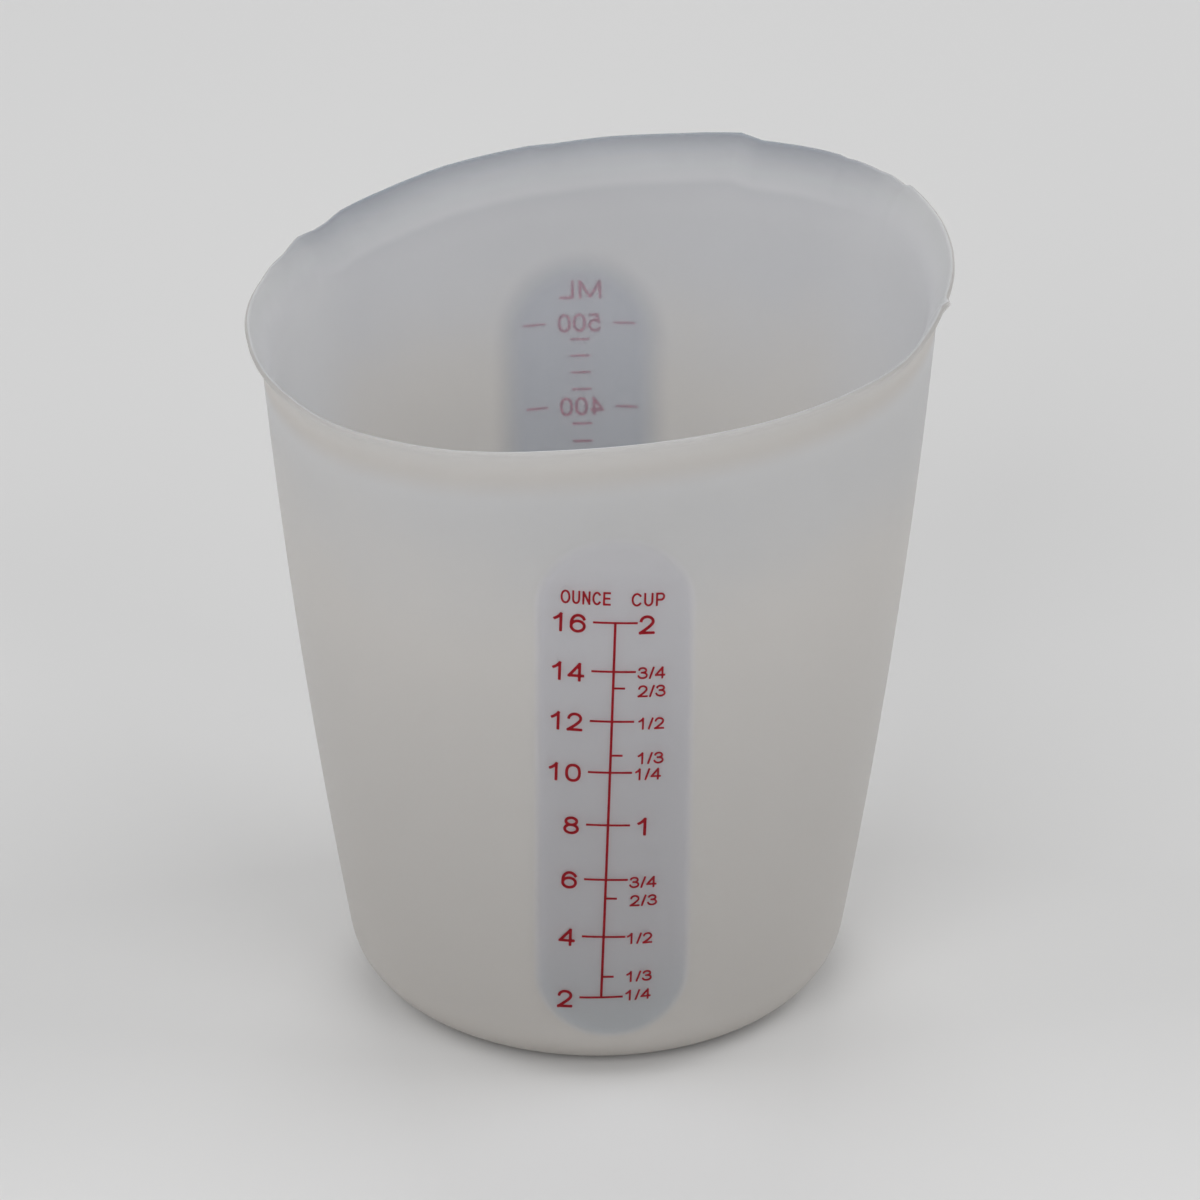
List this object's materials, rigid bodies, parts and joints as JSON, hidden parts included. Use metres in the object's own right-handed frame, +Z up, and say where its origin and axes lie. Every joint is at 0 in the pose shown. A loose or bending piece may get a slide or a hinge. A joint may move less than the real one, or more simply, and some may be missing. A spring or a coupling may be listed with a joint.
{
  "type": "silicone measuring cup",
  "caption": "Soft tapered measuring cup with a flared lip, a rounded base and clear windows front and back that carry printed ounce, cup and millilitre scales.",
  "frame": {"origin": "middle of the foot ring, on the surface that the cup stands on", "axes": "+Z up through the mouth, -Y towards the ounce and cup scale, +Y towards the millilitre scale, +X to the right of a reader of the ounce scale"},
  "size_m": [0.1088, 0.1023, 0.125],
  "materials": {
    "silicone": "translucent, frosted satin, with two clearer polished windows",
    "ink": "dark red printed ink, satin"
  },
  "bodies": {
    "root": {"cup_body": "silicone", "ml_100_dash_left": "ink", "ml_100_dash_right": "ink", "ml_120_mark": "ink", "ml_140_mark": "ink", "ml_160_mark": "ink", "ml_180_mark": "ink", "ml_200_dash_left": "ink", "ml_200_dash_right": "ink", "ml_220_mark": "ink", "ml_240_mark": "ink", "ml_260_mark": "ink", "ml_280_mark": "ink", "ml_300_dash_left": "ink", "ml_300_dash_right": "ink", "ml_320_mark": "ink", "ml_340_mark": "ink", "ml_360_mark": "ink", "ml_380_mark": "ink", "ml_400_dash_left": "ink", "ml_400_dash_right": "ink", "ml_420_mark": "ink", "ml_440_mark": "ink", "ml_460_mark": "ink", "ml_480_mark": "ink", "ml_500_dash_left": "ink", "ml_500_dash_right": "ink", "ounce_cup_scale": "ink"}
  },
  "joints": []
}
